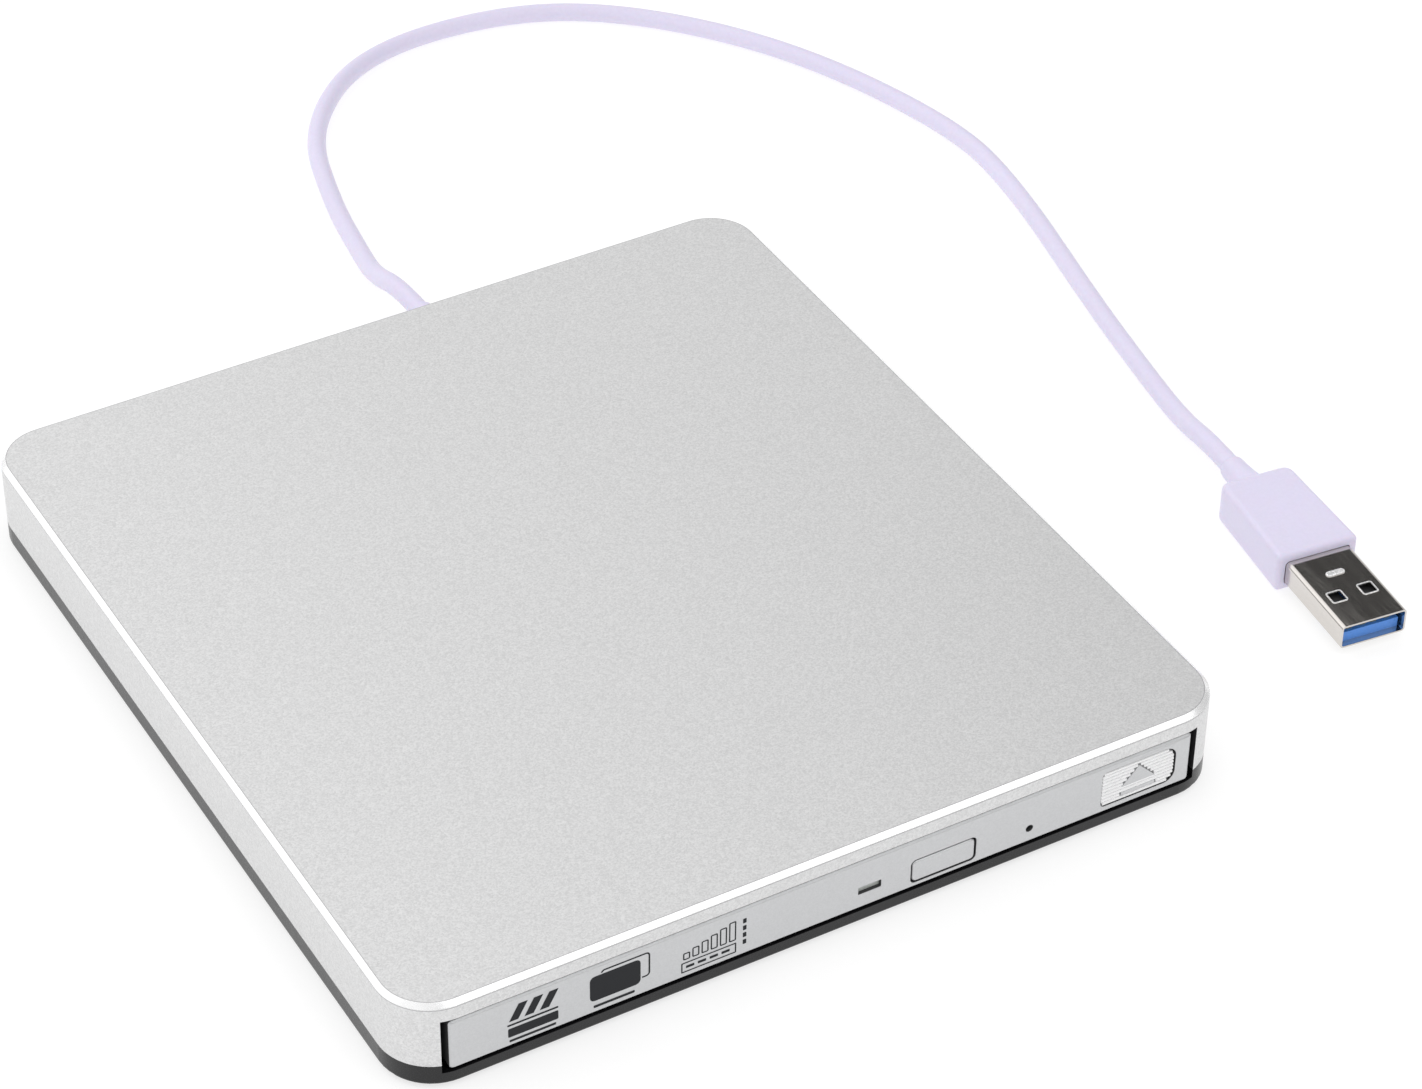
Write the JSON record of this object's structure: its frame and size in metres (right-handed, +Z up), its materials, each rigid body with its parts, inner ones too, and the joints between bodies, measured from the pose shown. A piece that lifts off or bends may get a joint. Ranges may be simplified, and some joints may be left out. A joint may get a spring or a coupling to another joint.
{
  "type": "external optical drive",
  "caption": "Slim tray-loading optical drive in a flat silver case with rounded corners, with a sliding disc tray, eject buttons and a white cord ending in a flat plug.",
  "frame": {"origin": "on the surface that the feet stand on, under the middle of the case", "axes": "+X to the right seen from the tray's front, +Y from the tray's front to the cord side, +Z up"},
  "size_m": [0.2049, 0.2541, 0.0165],
  "materials": {
    "satin_silver": "fine bead-blasted satin silver with a bright chamfer",
    "dark_plastic": "fine textured dark grey moulding",
    "foot_rubber": "matt",
    "screw_steel": "zinc plated",
    "zinc_steel": "zinc plated pressed sheet",
    "white_acetal": "smooth acetal",
    "spring_steel": "plain",
    "circuit_board": "green solder mask",
    "black_plastic": "moulded",
    "chip_black": "epoxy",
    "chip_metal": "tinned",
    "cord_white": "soft smooth sheath",
    "plug_white": "smooth moulded",
    "plug_nickel": "nickel plated",
    "tongue_blue": "moulded",
    "contact_gold": "gold flashed",
    "tray_black": "fine textured",
    "bezel_silver": "satin silver paint",
    "led_lens": "diffusing",
    "polished_steel": "ground",
    "damper_rubber": "soft",
    "cover_metal": "brushed",
    "copper_winding": "enamelled copper wire",
    "grip_rubber": "fine grip",
    "sled_zinc": "die cast",
    "lens_glass": "coated"
  },
  "bodies": {
    "root": {"top_cover": "satin_silver", "base_pan": "dark_plastic", "rubber_feet": "foot_rubber", "case_screws": "screw_steel", "drive_chassis": "zinc_steel", "drive_top_plate": "zinc_steel", "chassis_screws": "screw_steel", "drive_brackets": "zinc_steel", "bracket_screws": "screw_steel", "rail_guide_left": "white_acetal", "rail_guide_right": "white_acetal", "latch_post": "screw_steel", "eject_spring": "spring_steel", "interface_board": "circuit_board", "drive_connector": "black_plastic", "bridge_board": "circuit_board", "bridge_connector": "black_plastic", "board_screws": "screw_steel", "bridge_chip": "chip_black", "bridge_parts": "chip_metal", "cable_header": "white_acetal", "cord_gland": "cord_white", "inner_cable": "cord_white", "usb_cord": "cord_white", "plug_overmould": "plug_white", "plug_shell": "plug_nickel", "plug_tongue": "tongue_blue", "plug_contacts": "contact_gold"},
    "rail_left": {"slide_rail_left": "zinc_steel"},
    "rail_right": {"slide_rail_right": "zinc_steel"},
    "tray": {"tray": "tray_black", "tray_bezel": "bezel_silver", "led_lens": "led_lens", "tray_bottom_cover": "zinc_steel", "traverse_plate": "zinc_steel", "guide_rods": "polished_steel", "traverse_dampers": "damper_rubber", "damper_screws": "screw_steel", "pickup_cover": "cover_metal", "spindle_motor_base": "zinc_steel", "spindle_stator": "copper_winding", "motor_bracket": "zinc_steel", "sled_motor": "cover_metal", "main_board": "circuit_board", "board_chips": "chip_black", "eject_switches": "black_plastic", "latch_pivot": "polished_steel", "latch_solenoid": "copper_winding"},
    "spindle": {"turntable": "cover_metal", "turntable_ring": "grip_rubber", "clamp_hub": "black_plastic", "disc_claws": "white_acetal"},
    "sled": {"pickup_sled": "sled_zinc", "lens_actuator": "black_plastic", "objective_lens": "lens_glass", "sled_nut": "white_acetal"},
    "lead_screw": {"lead_screw": "polished_steel"},
    "eject_button": {"eject_button": "bezel_silver"},
    "eject_pad": {"eject_pad": "bezel_silver"},
    "latch": {"latch_lever": "white_acetal"}
  },
  "joints": [
    {"name": "tray_slide", "type": "slide", "parent": "root", "child": "tray", "axis": [0, -1, 0], "range_m": [0, 0.124]},
    {"name": "rail_left_slide", "type": "slide", "parent": "root", "child": "rail_left", "axis": [0, -1, 0], "range_m": [0, 0.062]},
    {"name": "rail_right_slide", "type": "slide", "parent": "root", "child": "rail_right", "axis": [0, -1, 0], "range_m": [0, 0.062]},
    {"name": "spindle_spin", "type": "hinge", "parent": "tray", "child": "spindle", "pos_m": [0, -0.0125, 0.00985], "axis": [0, 0, 1], "continuous": true},
    {"name": "sled_slide", "type": "slide", "parent": "tray", "child": "sled", "axis": [-0.7071, -0.7071, 0], "range_m": [0, 0.033]},
    {"name": "lead_screw_spin", "type": "hinge", "parent": "tray", "child": "lead_screw", "pos_m": [0.01344, -0.02593, 0.00625], "axis": [-0.7071, -0.7071, 0], "range_deg": [0, 3960]},
    {"name": "eject_button_press", "type": "slide", "parent": "tray", "child": "eject_button", "axis": [0, 1, 0], "range_m": [0, 0.0005], "stiffness_N_per_m": 1500},
    {"name": "eject_pad_press", "type": "slide", "parent": "tray", "child": "eject_pad", "axis": [0, 1, 0], "range_m": [0, 0.0005], "stiffness_N_per_m": 1500},
    {"name": "latch_swing", "type": "hinge", "parent": "tray", "child": "latch", "pos_m": [0.0445, -0.042, 0.0055], "axis": [0, 0, 1], "range_deg": [0, 10], "stiffness_Nm_per_rad": 0.002}
  ],
  "couplings": [
    {"joint": "rail_left_slide", "follows": "tray_slide", "ratio": 0.5},
    {"joint": "rail_right_slide", "follows": "tray_slide", "ratio": 0.5},
    {"joint": "lead_screw_spin", "follows": "sled_slide", "rad_per_m": 2094.4}
  ]
}
